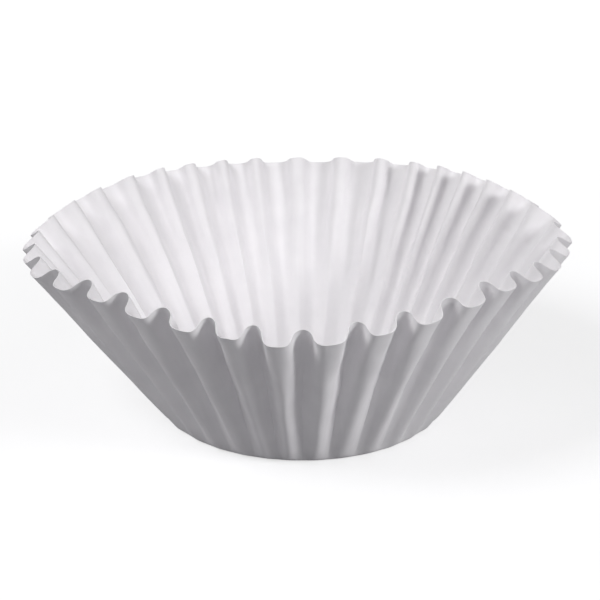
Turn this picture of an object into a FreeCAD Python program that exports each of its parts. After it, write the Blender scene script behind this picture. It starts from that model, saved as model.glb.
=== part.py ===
import FreeCAD, Part
import math
import os
from FreeCAD import Vector

# A basket coffee filter: one round sheet of white paper pressed into a flat bottom
# and a flaring, fluted wall. Millimetres and degrees, +Z up, flat bottom on z = 0.

# The sheet
SHEET_DIAMETER = 216.0
BASE_DIAMETER = 83.0
PAPER_THICKNESS = 0.15

# The wall: its slope eases outwards from the base edge to the rim. It leans in a little
# more at the right, at the front and between the four sides.
SLOPE_AT_BASE = 58.6
SLOPE_AT_RIM = 54.4
LEAN_RIGHT = 1.9
LEAN_FRONT = 1.6
LEAN_CORNERS = 2.2

# The run of flutes: wide lobes outwards, narrower grooves between them, wider apart at the
# front. The drifts are slow uneven spacings: waves in a full turn, size and phase.
FLUTES = 36
LOBE_SHARE = 0.62
FIRST_LOBE = 5.5
FRONT_WIDENING = 0.10
DRIFTS = ((3, 1.0, 59.0), (5, 1.3, -34.0))

# Their cross-section: arcs at first, then flatter at the crest of a lobe and creased at
# the bottom of a groove, where the crease opens out again towards the rim. The depth is
# a factor on a plain arc's, and varies from one to the next as a sine, with the rhythm's
# radians between neighbours.
FLUTE_DEPTH = 1.2
DEPTH_UNEVENNESS = 0.15
DEPTH_RHYTHM = 2.1
CREST_FLATNESS = 0.30
GROOVE_CREASE = 0.75
CREASE_OPENS = (0.45, 0.98)

# Straight steps across each lobe or groove, and the lengths up the wall, as shares of it,
# at which the cross-section is set
STEPS = 4
LEVELS = (0.1, 0.35, 0.7, 1.0)

BASE_RADIUS = BASE_DIAMETER / 2
WALL_LENGTH = SHEET_DIAMETER / 2 - BASE_RADIUS
SLOPE_CHANGE = math.radians(SLOPE_AT_BASE - SLOPE_AT_RIM) / WALL_LENGTH


def angle_round(turn):
    """Angle round the cup of a place in the even run of flutes."""
    angle = turn + FRONT_WIDENING * math.cos(turn)
    for waves, size, phase in DRIFTS:
        angle += math.radians(size) * math.sin(waves * turn + math.radians(phase))
    return angle


def steps_round():
    """Each step round the cup: its lobe's or groove's number and middle, and how far across."""
    for number in range(2 * FLUTES):
        middle = math.radians(FIRST_LOBE) + number * math.pi / FLUTES
        for step in range(STEPS):
            yield number, middle, 2 * step / STEPS - 1


def half_width(number):
    share = LOBE_SHARE if number % 2 == 0 else 1 - LOBE_SHARE
    return share * math.pi / FLUTES


def plain_wall(along, angle):
    """Radius, height and slope of the wall, with its flutes left out, at a length up it."""
    start = math.radians(SLOPE_AT_BASE + LEAN_RIGHT * math.cos(angle)
                         - LEAN_FRONT * math.sin(angle) - LEAN_CORNERS * math.cos(4 * angle))
    slope = start - SLOPE_CHANGE * along
    radius = BASE_RADIUS + (math.sin(start) - math.sin(slope)) / SLOPE_CHANGE
    height = (math.cos(slope) - math.cos(start)) / SLOPE_CHANGE
    return radius, height, slope


def arc_half_turn(along, radius):
    """How far an arc turns to each side, for the paper to keep its length round the wall.

    An arc that turns t to each side spans 1 - t^2/6 + t^4/120 of its length, solved for t.
    """
    spare = 1 - radius / (BASE_RADIUS + along)
    return math.sqrt(max(0.0, 10 - math.sqrt(100 - 120 * spare)))


def crease_share(along):
    """How much of a groove is creased: all of it low down, none at the rim."""
    start, end = CREASE_OPENS
    way = min(1.0, max(0.0, (along / WALL_LENGTH - start) / (end - start)))
    return GROOVE_CREASE * (1 - way * way * (3 - 2 * way))


def flute_height(number, along, arc, sideways):
    """Height of a lobe, or depth of a groove as a negative, as a share of an arc's."""
    own = FLUTE_DEPTH * (1 + DEPTH_UNEVENNESS * math.sin(DEPTH_RHYTHM * number))
    if number % 2 == 0:
        return own * arc * (1 - CREST_FLATNESS * arc * arc)
    crease = 1 - abs(sideways)
    return -own * (arc + (crease - arc) * crease_share(along))


def wall_outline(along):
    """Corners of the wall's outside at one length up it, and the climb of the wall at each."""
    corners = []
    climbs = []
    for number, middle, across in steps_round():
        radius = plain_wall(along, angle_round(middle))[0]
        half_turn = arc_half_turn(along, radius)
        sideways = math.sin(half_turn * across) / math.sin(half_turn)
        turn = middle + half_width(number) * sideways
        arc_height = radius * half_width(number) * math.tan(half_turn / 2)
        arc_height *= 1 - FRONT_WIDENING * math.sin(turn)
        arc = (math.cos(half_turn * across) - math.cos(half_turn)) / (1 - math.cos(half_turn))
        rise = arc_height * flute_height(number, along, arc, sideways)
        angle = angle_round(turn)
        radius, height, slope = plain_wall(along, angle)
        radius += rise * math.sin(slope)
        height -= rise * math.cos(slope)
        corners.append(Vector(radius * math.cos(angle), radius * math.sin(angle), height))
        climbs.append(Vector(math.cos(slope) * math.cos(angle),
                             math.cos(slope) * math.sin(angle), math.sin(slope)))
    return corners, climbs


def set_in(corners, climbs):
    """The same outline on the paper's inside, moved in square to the sheet."""
    moved = []
    for place, corner in enumerate(corners):
        along_outline = corners[(place + 1) % len(corners)] - corners[place - 1]
        outward = along_outline.cross(climbs[place]).normalize()
        moved.append(corner - outward * PAPER_THICKNESS)
    return moved


def base_outline(inset):
    """Corners of the flat bottom, with the same steps as the wall above it."""
    radius = BASE_RADIUS - inset * math.tan(math.radians(SLOPE_AT_BASE) / 2)
    corners = []
    for number, middle, across in steps_round():
        angle = angle_round(middle + half_width(number) * across)
        corners.append(Vector(radius * math.cos(angle), radius * math.sin(angle), inset))
    return corners


def closed(corners):
    return Part.makePolygon(corners + corners[:1])


def paper_filter():
    outside = [closed(base_outline(0.0))]
    inside = [closed(base_outline(PAPER_THICKNESS))]
    for level in LEVELS:
        corners, climbs = wall_outline(level * WALL_LENGTH)
        outside.append(closed(corners))
        inside.append(closed(set_in(corners, climbs)))
    faces = [Part.Face(outside[0]), Part.Face(inside[0])]
    for outlines in (outside, inside, [outside[-1], inside[-1]]):
        faces += Part.makeLoft(outlines, False, True).Faces
    paper = Part.Compound(faces)
    paper.sewShape()
    solid = Part.Solid(paper.Shells[0])
    if solid.Volume < 0:
        solid.reverse()
    return solid


os.makedirs("parts", exist_ok=True)
paper_filter().exportStep("parts/filter.step")
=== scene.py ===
import math

import bpy
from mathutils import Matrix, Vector


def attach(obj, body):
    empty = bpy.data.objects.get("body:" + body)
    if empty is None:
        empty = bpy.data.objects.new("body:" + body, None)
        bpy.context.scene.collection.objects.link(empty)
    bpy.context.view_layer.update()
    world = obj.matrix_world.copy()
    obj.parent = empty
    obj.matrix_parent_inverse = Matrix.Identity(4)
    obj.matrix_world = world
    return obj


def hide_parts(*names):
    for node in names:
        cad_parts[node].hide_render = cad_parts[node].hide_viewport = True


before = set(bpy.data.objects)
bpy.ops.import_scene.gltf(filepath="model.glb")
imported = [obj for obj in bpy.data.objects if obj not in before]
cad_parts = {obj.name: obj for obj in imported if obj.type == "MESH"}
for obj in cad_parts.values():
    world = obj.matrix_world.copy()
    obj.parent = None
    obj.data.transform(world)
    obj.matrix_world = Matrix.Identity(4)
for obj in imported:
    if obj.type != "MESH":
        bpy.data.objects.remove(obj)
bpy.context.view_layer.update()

# A basket coffee filter: one round sheet of white paper pressed into a flat bottom
# and a flaring, fluted wall. Lengths in metres, angles in radians.
MM = 0.001

# The sheet
SHEET_RADIUS = 108.0 * MM
BASE_RADIUS = 41.5 * MM
PAPER_THICKNESS = 0.15 * MM
WALL_LENGTH = SHEET_RADIUS - BASE_RADIUS

# The wall: its slope eases outwards from the base edge to the rim. It leans in a little
# more at the right, at the front and between the four sides. The fold at its foot is soft.
SLOPE_AT_BASE = math.radians(58.6)
SLOPE_AT_RIM = math.radians(54.4)
SLOPE_CHANGE = (SLOPE_AT_BASE - SLOPE_AT_RIM) / WALL_LENGTH
LEAN_RIGHT = math.radians(1.9)
LEAN_FRONT = math.radians(1.6)
LEAN_CORNERS = math.radians(2.2)
FOLD_SOFTNESS = 1.2 * MM

# The run of flutes: wide lobes outwards, narrower grooves between them, wider apart at the
# front. The drifts are slow uneven spacings: waves in a full turn, size and phase. The
# folds also wander by a share of a flute, in patches about a third of a radius across.
FLUTES = 36
LOBE_SHARE = 0.62
FIRST_LOBE = math.radians(5.5)
FRONT_WIDENING = 0.10
DRIFTS = ((3, math.radians(1.0), math.radians(59.0)),
          (5, math.radians(1.3), math.radians(-34.0)))
WANDER = 0.30
WANDER_PATCHES = 3.2

# Their depth: a factor on a plain arc's, which varies from one to the next as a sine, with
# the rhythm's radians between neighbours. It is reached a little way up the wall.
FLUTE_DEPTH = 1.2
DEPTH_UNEVENNESS = 0.15
DEPTH_RHYTHM = 2.1
FULL_FLUTES = 2.5 * MM

# Their cross-section: flatter than an arc at a lobe's crest, and creased at a groove's
# bottom. Low down a lobe has straight flanks as well, each a share of half its width, that
# end softly. Creases and flanks open out between two shares of the wall's length.
CREST_FLATNESS = 0.30
GROOVE_CREASE = 0.75
CREASE_OPENS = (0.45, 0.98)
FLANK_SHARE = 0.8
FLANK_SOFTNESS = 0.25

# Marks of the press: soft dents, and fine upright lines that fan out with the wall, so
# their spacing is the one at a radius half-way up. Both reach their full depth at a height.
DENT_WIDTH = 24.0 * MM
DENT_DEPTH = 1.1 * MM
LINE_SPACING = 2.4 * MM
LINE_SPACING_RADIUS = 62.4 * MM
LINE_DEPTH = 0.30 * MM
FULL_MARKS = 0.6 * WALL_LENGTH

# The mesh: steps across each lobe or groove, rows over the bottom and up the wall, and the
# power that draws the rows together at the fold. Points closer than the gap are merged,
# and an edge that bends by more than the sharp angle is shaded sharp.
ARC_STEPS = 10
BASE_ROWS = 12
WALL_ROWS = 42
ROW_POWER = 1.4
MERGE_GAP = 0.01 * MM
SHARP_ANGLE = math.radians(50)

# The paper's patterns: broad cloudiness, and a nap of felted fibres drawn coarse enough to show
CLOUD_WIDTH = 9.0 * MM
NAP_WIDTH = 1.6 * MM
NAP_DEPTH = 0.12 * MM

# The studio: a glow that only the camera sees makes the floor white outside the filter's
# shadow. It is weaker close to the filter and grows between two distances.
FLOOR_HALF_WIDTH = 3.0
GLOW_DISTANCES = (0.10, 0.40)
GLOW_STRENGTHS = (0.69, 0.84)
SKY_STRENGTH = 0.12
LAMP_TARGET = (0, 0, 30 * MM)
# Each lamp's name, place, width and power
LAMPS = (("right", (0.9, -0.6, 0.52), 0.35, 7.1),
         ("left", (-0.7, -0.45, 0.95), 0.5, 8.7),
         ("back", (-0.35, 1.0, 0.35), 0.5, 2.2))

MATH = "ShaderNodeMath"
VECTOR_MATH = "ShaderNodeVectorMath"
MAP = "ShaderNodeMapRange"
MIX = "ShaderNodeMix"
NOISE = "ShaderNodeTexNoise"

SHEET_INPUTS = {
    "Sheet Radius": SHEET_RADIUS,
    "Base Radius": BASE_RADIUS,
    "Thickness": PAPER_THICKNESS,
    "Fold Softness": FOLD_SOFTNESS,
    "Slope At Base": SLOPE_AT_BASE,
    "Slope Change": SLOPE_CHANGE,
    "Lean Right": LEAN_RIGHT,
    "Lean Front": LEAN_FRONT,
    "Lean Corners": LEAN_CORNERS,
    "Flutes": float(FLUTES),
    "Lobe Share": LOBE_SHARE,
    "First Lobe": FIRST_LOBE,
    "Front Widening": FRONT_WIDENING,
    "Wander": WANDER,
    "Flute Depth": FLUTE_DEPTH,
    "Depth Unevenness": DEPTH_UNEVENNESS,
    "Full Flutes": FULL_FLUTES,
    "Crest Flatness": CREST_FLATNESS,
    "Groove Crease": GROOVE_CREASE,
    "Flank Share": FLANK_SHARE,
    "Dent Depth": DENT_DEPTH,
    "Line Depth": LINE_DEPTH,
}


def linear(hex_colour):
    """Linear RGBA of an sRGB hex colour."""
    channels = []
    for start in (0, 2, 4):
        value = int(hex_colour[start:start + 2], 16) / 255
        channels.append(value / 12.92 if value <= 0.04045 else ((value + 0.055) / 1.055) ** 2.4)
    return (*channels, 1.0)


def add_node(tree, kind, inputs=(), **settings):
    """First output of a new node; inputs are values or other nodes' outputs, by place or name."""
    node = tree.nodes.new(kind)
    for name, value in settings.items():
        setattr(node, name, value)
    keyed = inputs.items() if isinstance(inputs, dict) else enumerate(inputs)
    for key, value in keyed:
        if isinstance(value, bpy.types.NodeSocket):
            tree.links.new(value, node.inputs[key])
        else:
            node.inputs[key].default_value = value
    return node.outputs[0] if node.outputs else node


def flat_grid(tree):
    """A flat grid for the sheet, with each point's share of the way round and of the way out."""
    columns = 2 * FLUTES * ARC_STEPS
    grid = add_node(tree, "GeometryNodeMeshGrid", {
        "Size X": 1.0, "Size Y": 1.0,
        "Vertices X": columns + 1, "Vertices Y": BASE_ROWS + WALL_ROWS + 1})
    spot = add_node(tree, "GeometryNodeInputPosition")
    place = add_node(tree, "ShaderNodeSeparateXYZ", (spot,)).node.outputs
    around = add_node(tree, MATH, (place[0], 0.5), operation="ADD")
    outward = add_node(tree, MATH, (place[1], 0.5), operation="ADD")
    return grid, around, outward


def folded_lengths(tree, given, outward):
    """Lengths along the paper: from the centre, and of that over the bottom and up the wall.

    The last value is the length up the wall as a share of all of it.
    """
    fold_row = BASE_ROWS / (BASE_ROWS + WALL_ROWS)
    inner = add_node(tree, MAP, (outward, 0.0, fold_row, 1.0, 0.0))
    inner = add_node(tree, MATH, (inner, ROW_POWER), operation="POWER")
    inner = add_node(tree, MATH, (inner, given["Base Radius"]), operation="MULTIPLY")
    outer = add_node(tree, MAP, (outward, fold_row, 1.0, 0.0, 1.0))
    outer = add_node(tree, MATH, (outer, ROW_POWER), operation="POWER")
    wall_length = add_node(tree, MATH, (given["Sheet Radius"], given["Base Radius"]),
                           operation="SUBTRACT")
    outer = add_node(tree, MATH, (outer, wall_length), operation="MULTIPLY")
    past_fold = add_node(tree, MATH, (outer, inner), operation="SUBTRACT")
    paper = add_node(tree, MATH, (past_fold, given["Base Radius"]), operation="ADD")

    # The wall takes over from the bottom softly: (x + sqrt(x^2 + softness^2)) / 2
    squared = add_node(tree, MATH, (past_fold, past_fold), operation="MULTIPLY")
    soft = add_node(tree, MATH, (given["Fold Softness"], given["Fold Softness"], squared),
                    operation="MULTIPLY_ADD")
    soft = add_node(tree, MATH, (soft,), operation="SQRT")
    wall = add_node(tree, MATH, (past_fold, soft), operation="ADD")
    wall = add_node(tree, MATH, (wall, 0.5), operation="MULTIPLY")
    bottom = add_node(tree, MATH, (paper, wall), operation="SUBTRACT")
    up = add_node(tree, MATH, (wall, wall_length), operation="DIVIDE")
    return paper, bottom, wall, up


def flute_places(tree, given, around):
    """Each point's lobe or groove: its number, whether it is a groove, and the way across it.

    Then its middle and half its width, and a flute's whole width, as turns round the cup.
    """
    flute = add_node(tree, MATH, (around, given["Flutes"]), operation="MULTIPLY")
    flute_number = add_node(tree, MATH, (flute,), operation="FLOOR")
    in_flute = add_node(tree, MATH, (flute,), operation="FRACT")
    in_flute = add_node(tree, MATH, (in_flute, 2.0), operation="MULTIPLY")
    groove = add_node(tree, MATH, (in_flute,), operation="FLOOR")
    across = add_node(tree, MATH, (in_flute,), operation="FRACT")
    across = add_node(tree, MATH, (across, 2.0, -1.0), operation="MULTIPLY_ADD")
    number = add_node(tree, MATH, (flute_number, 2.0, groove), operation="MULTIPLY_ADD")

    pitch = add_node(tree, MATH, (2 * math.pi, given["Flutes"]), operation="DIVIDE")
    middle = add_node(tree, MATH, (groove, 0.5, flute_number), operation="MULTIPLY_ADD")
    middle = add_node(tree, MATH, (middle, pitch, given["First Lobe"]), operation="MULTIPLY_ADD")
    groove_share = add_node(tree, MATH, (1.0, given["Lobe Share"]), operation="SUBTRACT")
    share = add_node(tree, MIX, {"Factor": groove, "A": given["Lobe Share"], "B": groove_share})
    half_width = add_node(tree, MATH, (share, pitch), operation="MULTIPLY")
    half_width = add_node(tree, MATH, (half_width, 0.5), operation="MULTIPLY")
    return number, groove, across, middle, half_width, pitch


def angle_round(tree, given, turn):
    """Angle round the cup of a place in the even run of flutes."""
    widening = add_node(tree, MATH, (turn,), operation="COSINE")
    angle = add_node(tree, MATH, (widening, given["Front Widening"], turn),
                     operation="MULTIPLY_ADD")
    for waves, size, phase in DRIFTS:
        wave = add_node(tree, MATH, (turn, float(waves), phase), operation="MULTIPLY_ADD")
        wave = add_node(tree, MATH, (wave,), operation="SINE")
        angle = add_node(tree, MATH, (wave, size, angle), operation="MULTIPLY_ADD")
    return angle


def plain_wall(tree, given, bottom, wall, angle):
    """Radius, height and slope of the sheet, with its flutes left out."""
    right = add_node(tree, MATH, (angle,), operation="COSINE")
    start = add_node(tree, MATH, (right, given["Lean Right"], given["Slope At Base"]),
                     operation="MULTIPLY_ADD")
    front = add_node(tree, MATH, (angle,), operation="SINE")
    front = add_node(tree, MATH, (front, given["Lean Front"]), operation="MULTIPLY")
    start = add_node(tree, MATH, (start, front), operation="SUBTRACT")
    corners = add_node(tree, MATH, (angle, 4.0), operation="MULTIPLY")
    corners = add_node(tree, MATH, (corners,), operation="COSINE")
    corners = add_node(tree, MATH, (corners, given["Lean Corners"]), operation="MULTIPLY")
    start = add_node(tree, MATH, (start, corners), operation="SUBTRACT")
    eased = add_node(tree, MATH, (wall, given["Slope Change"]), operation="MULTIPLY")
    slope = add_node(tree, MATH, (start, eased), operation="SUBTRACT")

    # The reach outwards and upwards of a wall that curves evenly from one slope to the other
    reach = []
    for trig, first, second in (("SINE", start, slope), ("COSINE", slope, start)):
        first = add_node(tree, MATH, (first,), operation=trig)
        second = add_node(tree, MATH, (second,), operation=trig)
        gain = add_node(tree, MATH, (first, second), operation="SUBTRACT")
        reach.append(add_node(tree, MATH, (gain, given["Slope Change"]), operation="DIVIDE"))
    radius = add_node(tree, MATH, (bottom, reach[0]), operation="ADD")
    return radius, reach[1], slope


def arc_half_turn(tree, radius, paper):
    """How far an arc turns to each side, for the paper to keep its length round the wall.

    An arc that turns t to each side spans 1 - t^2/6 + t^4/120 of its length, solved for t.
    It stays above nought on the flat bottom, because later steps divide by its chord.
    """
    least_squared = 0.0001
    spanned = add_node(tree, MATH, (radius, paper), operation="DIVIDE")
    root = add_node(tree, MATH, (spanned, 120.0, -20.0), operation="MULTIPLY_ADD")
    root = add_node(tree, MATH, (root,), operation="SQRT")
    squared = add_node(tree, MATH, (10.0, root), operation="SUBTRACT")
    squared = add_node(tree, MATH, (squared, least_squared), operation="MAXIMUM")
    return add_node(tree, MATH, (squared,), operation="SQRT")


def wandered(tree, given, turn, up, pitch):
    """The turn of a point once its fold has strayed from the even run, more so higher up."""
    east = add_node(tree, MATH, (turn,), operation="COSINE")
    north = add_node(tree, MATH, (turn,), operation="SINE")
    unrolled = add_node(tree, "ShaderNodeCombineXYZ", (east, north, up))
    stray = add_node(tree, NOISE, {"Vector": unrolled, "Scale": WANDER_PATCHES, "Detail": 1.0})
    stray = add_node(tree, MATH, (stray, 0.5), operation="SUBTRACT")
    stray = add_node(tree, MATH, (stray, given["Wander"]), operation="MULTIPLY")
    stray = add_node(tree, MATH, (stray, up), operation="MULTIPLY")
    return add_node(tree, MATH, (stray, pitch, turn), operation="MULTIPLY_ADD")


def cross_section(tree, given, groove, arc, sideways, up):
    """Height of a lobe or groove as a share of an arc's, from 0 at its edges to about 1."""
    flatter = add_node(tree, MATH, (arc, arc), operation="MULTIPLY")
    flatter = add_node(tree, MATH, (flatter, given["Crest Flatness"]), operation="MULTIPLY")
    flatter = add_node(tree, MATH, (1.0, flatter), operation="SUBTRACT")
    round_lobe = add_node(tree, MATH, (arc, flatter), operation="MULTIPLY")
    away = add_node(tree, MATH, (sideways,), operation="ABSOLUTE")
    crease = add_node(tree, MATH, (1.0, away), operation="SUBTRACT")
    flank = add_node(tree, MATH, (crease, given["Flank Share"]), operation="DIVIDE")
    folded_lobe = add_node(tree, MATH, (flank, 1.0, FLANK_SOFTNESS), operation="SMOOTH_MIN")

    # Both are folded low down, and round out towards the rim
    folded = add_node(tree, MAP, (up, *CREASE_OPENS, given["Groove Crease"], 0.0),
                      interpolation_type="SMOOTHSTEP")
    lobe = add_node(tree, MIX, {"Factor": folded, "A": round_lobe, "B": folded_lobe})
    creased = add_node(tree, MIX, {"Factor": folded, "A": arc, "B": crease})
    return add_node(tree, MIX, {"Factor": groove, "A": lobe, "B": creased})


def own_share(tree, given, number, wall):
    """A lobe's or groove's own share of the depth, which fades in above the fold."""
    uneven = add_node(tree, MATH, (number, DEPTH_RHYTHM), operation="MULTIPLY")
    uneven = add_node(tree, MATH, (uneven,), operation="SINE")
    uneven = add_node(tree, MATH, (uneven, given["Depth Unevenness"], 1.0),
                      operation="MULTIPLY_ADD")
    fade = add_node(tree, MAP, {"Value": wall, "From Max": given["Full Flutes"]},
                    interpolation_type="SMOOTHSTEP")
    return add_node(tree, MATH, (uneven, fade), operation="MULTIPLY")


def fluted_point(tree, given, around, outward):
    """Each point's place on the fluted cup."""
    paper, bottom, wall, up = folded_lengths(tree, given, outward)
    number, groove, across, middle, half_width, pitch = flute_places(tree, given, around)
    middle_angle = angle_round(tree, given, middle)
    middle_radius = plain_wall(tree, given, bottom, wall, middle_angle)[0]

    # The way across follows an arc, seen square to the wall
    half_turn = arc_half_turn(tree, middle_radius, paper)
    swing = add_node(tree, MATH, (across, half_turn), operation="MULTIPLY")
    half_chord = add_node(tree, MATH, (half_turn,), operation="SINE")
    sideways = add_node(tree, MATH, (swing,), operation="SINE")
    sideways = add_node(tree, MATH, (sideways, half_chord), operation="DIVIDE")
    turn = add_node(tree, MATH, (sideways, half_width, middle), operation="MULTIPLY_ADD")
    turn = wandered(tree, given, turn, up, pitch)
    angle = angle_round(tree, given, turn)
    radius, height, slope = plain_wall(tree, given, bottom, wall, angle)

    # The arc's radius and height, which shrink with the flutes where those are narrower
    narrower = add_node(tree, MATH, (turn,), operation="SINE")
    narrower = add_node(tree, MATH, (narrower, given["Front Widening"]), operation="MULTIPLY")
    width = add_node(tree, MATH, (1.0, narrower), operation="SUBTRACT")
    arc_radius = add_node(tree, MATH, (middle_radius, half_width), operation="MULTIPLY")
    arc_radius = add_node(tree, MATH, (arc_radius, half_chord), operation="DIVIDE")
    arc_radius = add_node(tree, MATH, (arc_radius, width), operation="MULTIPLY")
    foot = add_node(tree, MATH, (half_turn,), operation="COSINE")
    crest = add_node(tree, MATH, (1.0, foot), operation="SUBTRACT")
    arc = add_node(tree, MATH, (swing,), operation="COSINE")
    arc = add_node(tree, MATH, (arc, foot), operation="SUBTRACT")
    arc = add_node(tree, MATH, (arc, crest), operation="DIVIDE")
    depth = add_node(tree, MATH, (arc_radius, crest), operation="MULTIPLY")
    depth = add_node(tree, MATH, (depth, given["Flute Depth"]), operation="MULTIPLY")

    # The rise square to the wall, outwards for a lobe and inwards for a groove
    profile = cross_section(tree, given, groove, arc, sideways, up)
    side = add_node(tree, MATH, (groove, -2.0, 1.0), operation="MULTIPLY_ADD")
    rise = add_node(tree, MATH, (depth, profile), operation="MULTIPLY")
    rise = add_node(tree, MATH, (rise, side), operation="MULTIPLY")
    rise = add_node(tree, MATH, (rise, own_share(tree, given, number, wall)),
                    operation="MULTIPLY")
    steep = add_node(tree, MATH, (slope,), operation="SINE")
    flat = add_node(tree, MATH, (slope,), operation="COSINE")
    radius = add_node(tree, MATH, (rise, steep, radius), operation="MULTIPLY_ADD")
    drop = add_node(tree, MATH, (rise, flat), operation="MULTIPLY")
    height = add_node(tree, MATH, (height, drop), operation="SUBTRACT")
    east = add_node(tree, MATH, (angle,), operation="COSINE")
    east = add_node(tree, MATH, (east, radius), operation="MULTIPLY")
    north = add_node(tree, MATH, (angle,), operation="SINE")
    north = add_node(tree, MATH, (north, radius), operation="MULTIPLY")
    return add_node(tree, "ShaderNodeCombineXYZ", (east, north, height))


def press_marks(tree, given):
    """How far each point is pushed by soft dents and by fine upright lines."""
    spot = add_node(tree, "GeometryNodeInputPosition")
    height = add_node(tree, "ShaderNodeSeparateXYZ", (spot,)).node.outputs["Z"]
    strength = add_node(tree, MAP, (height, 0.0, FULL_MARKS, 0.0, 1.0))
    dent = add_node(tree, NOISE, {"Vector": spot, "Scale": 1 / DENT_WIDTH, "Detail": 4.0,
                    "Roughness": 0.6})
    lines_round = LINE_SPACING_RADIUS / LINE_SPACING
    heading = add_node(tree, VECTOR_MATH, (spot, (1.0, 1.0, 0.0)), operation="MULTIPLY")
    heading = add_node(tree, VECTOR_MATH, (heading,), operation="NORMALIZE")
    lifted = add_node(tree, "ShaderNodeCombineXYZ", (0.0, 0.0, strength))
    streaked = add_node(tree, VECTOR_MATH, (heading, (lines_round, lines_round, 0.0), lifted),
                        operation="MULTIPLY_ADD")
    line = add_node(tree, NOISE, {"Vector": streaked, "Scale": 1.0, "Detail": 3.0})
    shift = 0.0
    for noise, depth in ((dent, given["Dent Depth"]), (line, given["Line Depth"])):
        noise = add_node(tree, MATH, (noise, 0.5), operation="SUBTRACT")
        shift = add_node(tree, MATH, (noise, depth, shift), operation="MULTIPLY_ADD")
    shift = add_node(tree, MATH, (shift, strength), operation="MULTIPLY")
    normal = add_node(tree, "GeometryNodeInputNormal")
    return add_node(tree, VECTOR_MATH, {"Vector": normal, "Scale": shift}, operation="SCALE")


def with_thickness(tree, given, sheet):
    """The sheet as the paper's outside, closed by a copy set inwards and joined at the rim."""
    inwards = add_node(tree, MATH, (given["Thickness"], -1.0), operation="MULTIPLY")
    inside = add_node(tree, "GeometryNodeExtrudeMesh", {"Mesh": sheet, "Offset Scale": inwards,
                      "Individual": False})
    inside = add_node(tree, "GeometryNodeFlipFaces", (inside,))
    both = add_node(tree, "GeometryNodeJoinGeometry")
    for half in (inside, sheet):
        tree.links.new(half, both.node.inputs[0])
    return add_node(tree, "GeometryNodeMergeByDistance", {"Geometry": both,
                    "Distance": MERGE_GAP})


def sheet_tree():
    """Node tree that presses a flat grid into the fluted cup and gives it its thickness."""
    tree = bpy.data.node_groups.new("pressed_sheet", "GeometryNodeTree")
    tree.interface.new_socket("Geometry", in_out="OUTPUT", socket_type="NodeSocketGeometry")
    for name in SHEET_INPUTS:
        tree.interface.new_socket(name, in_out="INPUT", socket_type="NodeSocketFloat")
    tree.interface.new_socket("Paper", in_out="INPUT", socket_type="NodeSocketMaterial")
    given = tree.nodes.new("NodeGroupInput").outputs
    grid, around, outward = flat_grid(tree)
    point = fluted_point(tree, given, around, outward)
    sheet = add_node(tree, "GeometryNodeSetPosition", {"Geometry": grid, "Position": point})
    sheet = add_node(tree, "GeometryNodeMergeByDistance", {"Geometry": sheet,
                     "Distance": MERGE_GAP})
    sheet = add_node(tree, "GeometryNodeSetPosition", {"Geometry": sheet,
                     "Offset": press_marks(tree, given)})
    closed = with_thickness(tree, given, sheet)
    smooth = add_node(tree, "GeometryNodeSetShadeSmooth", {"Geometry": closed})
    real = add_node(tree, "GeometryNodeRealizeInstances", (smooth,))
    done = add_node(tree, "GeometryNodeSetMaterial", {"Geometry": real,
                    "Material": given["Paper"]})
    add_node(tree, "NodeGroupOutput", (done,))
    return tree


def pressed_filter(paper):
    """The filter as a plain closed mesh, made by the sheet's node tree."""
    piece = bpy.data.objects.new("paper_filter", bpy.data.meshes.new("paper_filter"))
    bpy.context.scene.collection.objects.link(piece)
    piece.data.materials.append(paper)
    pressing = piece.modifiers.new("pressing", "NODES")
    tree = sheet_tree()
    pressing.node_group = tree
    values = {**SHEET_INPUTS, "Paper": paper}
    for item in tree.interface.items_tree:
        if item.in_out == "INPUT":
            pressing[item.identifier] = values[item.name]
    evaluated = piece.evaluated_get(bpy.context.evaluated_depsgraph_get())
    mesh = bpy.data.meshes.new_from_object(evaluated)
    piece.modifiers.remove(pressing)
    piece.data = mesh
    mesh.set_sharp_from_angle(angle=SHARP_ANGLE)
    return piece


def filter_paper():
    """White creped filter paper, bleached and unglazed: dull, with a faint nap and cloudiness."""
    material = bpy.data.materials.new("creped_filter_paper")
    material.use_nodes = True
    tree = material.node_tree
    tree.nodes.clear()
    place = add_node(tree, "ShaderNodeTexCoord").node.outputs["Object"]
    cloud = add_node(tree, NOISE, {"Vector": place, "Scale": 1 / CLOUD_WIDTH, "Detail": 3.0})
    tint = add_node(tree, MIX, {"Factor": cloud, 6: linear("ECEAED"), 7: linear("F8F6F8")},
                    data_type="RGBA").node.outputs[2]
    nap = add_node(tree, NOISE, {"Vector": place, "Scale": 1 / NAP_WIDTH, "Detail": 4.0,
                   "Roughness": 0.6})
    bump = add_node(tree, "ShaderNodeBump", {"Height": nap, "Distance": NAP_DEPTH,
                    "Strength": 0.5})
    shader = add_node(tree, "ShaderNodeBsdfPrincipled", {
        "Base Color": tint, "Normal": bump,
        "Roughness": 0.92, "IOR": 1.5, "Specular IOR Level": 0.25})
    add_node(tree, "ShaderNodeOutputMaterial", (shader,))
    return material


def seen_rays(tree):
    """1 for rays that show the background: from the camera, or by a gloss or clear piece."""
    rays = add_node(tree, "ShaderNodeLightPath").node.outputs
    seen = add_node(tree, MATH, (rays["Is Camera Ray"], rays["Is Glossy Ray"]),
                    operation="MAXIMUM")
    return add_node(tree, MATH, (seen, rays["Is Transmission Ray"]), operation="MAXIMUM")


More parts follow.
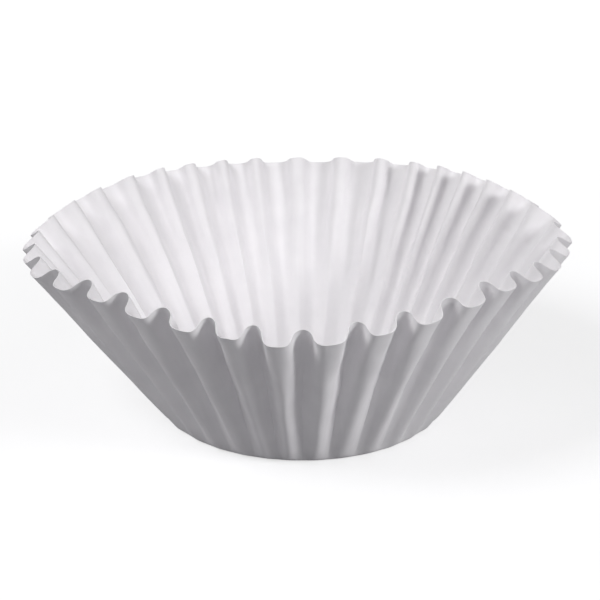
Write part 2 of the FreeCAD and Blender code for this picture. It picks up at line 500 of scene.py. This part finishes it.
def floor_plane():
    """Plain pale floor, wide enough to fill the view. It reflects less than it shows."""
    half = FLOOR_HALF_WIDTH
    mesh = bpy.data.meshes.new("floor")
    mesh.from_pydata([(-half, -half, 0), (half, -half, 0), (half, half, 0), (-half, half, 0)],
                     [], [(0, 1, 2, 3)])
    floor = bpy.data.objects.new("floor", mesh)
    bpy.context.scene.collection.objects.link(floor)
    material = bpy.data.materials.new("pale_floor")
    material.use_nodes = True
    tree = material.node_tree
    tree.nodes.clear()
    lit = add_node(tree, "ShaderNodeBsdfDiffuse", {"Color": linear("A8A8AA")})
    place = add_node(tree, "ShaderNodeTexCoord").node.outputs["Object"]
    away = add_node(tree, VECTOR_MATH, (place,), operation="LENGTH").node.outputs["Value"]
    strength = add_node(tree, MAP, (away, *GLOW_DISTANCES, *GLOW_STRENGTHS))
    glow = add_node(tree, "ShaderNodeEmission", {"Color": linear("FFFFFF"),
                    "Strength": strength})
    shown = add_node(tree, "ShaderNodeAddShader", (lit, glow))
    mixed = add_node(tree, "ShaderNodeMixShader", (seen_rays(tree), lit, shown))
    add_node(tree, "ShaderNodeOutputMaterial", (mixed,))
    mesh.materials.append(material)
    return floor


def sky():
    """White background, and a faint even light on everything."""
    world = bpy.data.worlds.new("sky")
    bpy.context.scene.world = world
    world.use_nodes = True
    tree = world.node_tree
    tree.nodes.clear()
    strength = add_node(tree, MAP, (seen_rays(tree), 0.0, 1.0, SKY_STRENGTH, 1.0))
    light = add_node(tree, "ShaderNodeBackground", {"Color": linear("FFFFFF"),
                     "Strength": strength})
    add_node(tree, "ShaderNodeOutputWorld", (light,))


def soft_lamps():
    """Square soft lamps that look at the filter's middle."""
    for name, place, width, power in LAMPS:
        data = bpy.data.lights.new(name, "AREA")
        data.shape = "SQUARE"
        data.size = width
        data.energy = power
        lamp = bpy.data.objects.new(name, data)
        lamp.location = place
        aim = Vector(LAMP_TARGET) - Vector(place)
        lamp.rotation_euler = aim.to_track_quat("-Z", "Y").to_euler()
        bpy.context.scene.collection.objects.link(lamp)


def camera():
    """The photograph's view: from the front and above, through a long lens."""
    focal_pixels = 2300
    picture_pixels = 600
    distance = 690 * MM
    climb = math.radians(19.8)
    dip = math.radians(21.45)
    sideways = -0.73 * MM
    rim_height = 56 * MM
    data = bpy.data.cameras.new("camera")
    data.sensor_fit = "HORIZONTAL"
    data.lens = data.sensor_width * focal_pixels / picture_pixels
    view = bpy.data.objects.new("camera", data)
    view.location = (sideways, -distance * math.cos(climb),
                     rim_height + distance * math.sin(climb))
    view.rotation_euler = (math.pi / 2 - dip, 0, 0)
    bpy.context.scene.collection.objects.link(view)
    bpy.context.scene.camera = view


piece = pressed_filter(filter_paper())
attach(piece, "root")
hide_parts("filter")
floor_plane()
sky()
soft_lamps()
camera()
bpy.context.scene.view_settings.view_transform = "Standard"
